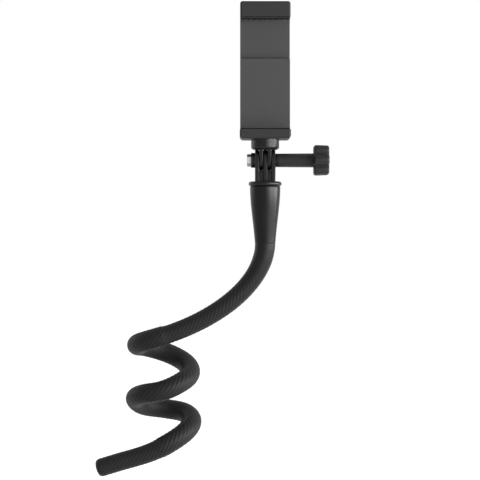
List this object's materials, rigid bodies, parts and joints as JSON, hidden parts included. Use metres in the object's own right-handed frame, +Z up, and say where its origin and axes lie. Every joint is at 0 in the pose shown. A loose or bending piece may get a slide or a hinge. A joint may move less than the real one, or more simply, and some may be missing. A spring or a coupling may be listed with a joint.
{
  "type": "flexible phone mount",
  "caption": "Phone mount with a bendable rubber-skinned arm that winds round a pole, a tapered sleeve, a pronged tilt head with a lobed thumb screw, and a sliding spring clip with ribbed jaws.",
  "frame": {"origin": "On the axis of the coil that grips a pole, at the height of the coil's middle front pass.", "axes": "+Z up along the pole and the clip, +X sideways along the arm's reach from the coil to the head, -Y towards the user, the side that the clip's jaws face."},
  "size_m": [0.1726, 0.0616, 0.3497],
  "materials": {
    "skin_rubber": "matte extruded soft skin",
    "sleeve_rubber": "smooth moulded rubber, soft sheen",
    "pad_rubber": "matte moulded rubber",
    "core_aluminium": "drawn, soft temper",
    "plated_steel": "zinc plated",
    "spring_steel": "drawn spring wire",
    "nut_steel": "bright zinc plated",
    "head_plastic": "moulded, fine satin",
    "knob_plastic": "moulded, satin",
    "clip_plastic": "moulded, fine matte",
    "cap_plastic": "moulded, plain",
    "insert_brass": "turned and knurled"
  },
  "bodies": {
    "arm": {"neck_skin": "skin_rubber", "neck_core": "core_aluminium", "core_ferrule": "plated_steel", "core_pin": "plated_steel", "core_end_cap": "cap_plastic", "grip_sleeve": "sleeve_rubber", "arm_head": "head_plastic", "pivot_nut": "nut_steel"},
    "clip": {"swivel_adapter": "head_plastic", "tripod_stud": "plated_steel", "tripod_insert": "insert_brass", "clip_base": "clip_plastic", "lower_jaw_pad": "pad_rubber", "spring_pins": "plated_steel", "spring_left": "spring_steel", "spring_right": "spring_steel"},
    "upper_jaw": {"clip_slide": "clip_plastic", "upper_jaw_pad": "pad_rubber", "slide_screws": "plated_steel"},
    "thumb_screw": {"pivot_bolt": "nut_steel", "thumb_knob": "knob_plastic"}
  },
  "joints": [
    {"name": "clip_tilt", "type": "hinge", "parent": "arm", "child": "clip", "pos_m": [0.0762, -0.02, 0.1705], "axis": [1, 0, 0], "range_deg": [-90, 90]},
    {"name": "thumb_screw_turn", "type": "hinge", "parent": "arm", "child": "thumb_screw", "pos_m": [0.0762, -0.02, 0.1705], "axis": [1, 0, 0], "continuous": true},
    {"name": "upper_jaw_slide", "type": "slide", "parent": "clip", "child": "upper_jaw", "axis": [0, 0, 1], "range_m": [-0.024, 0.004], "deforming": ["spring_left", "spring_right"]}
  ]
}
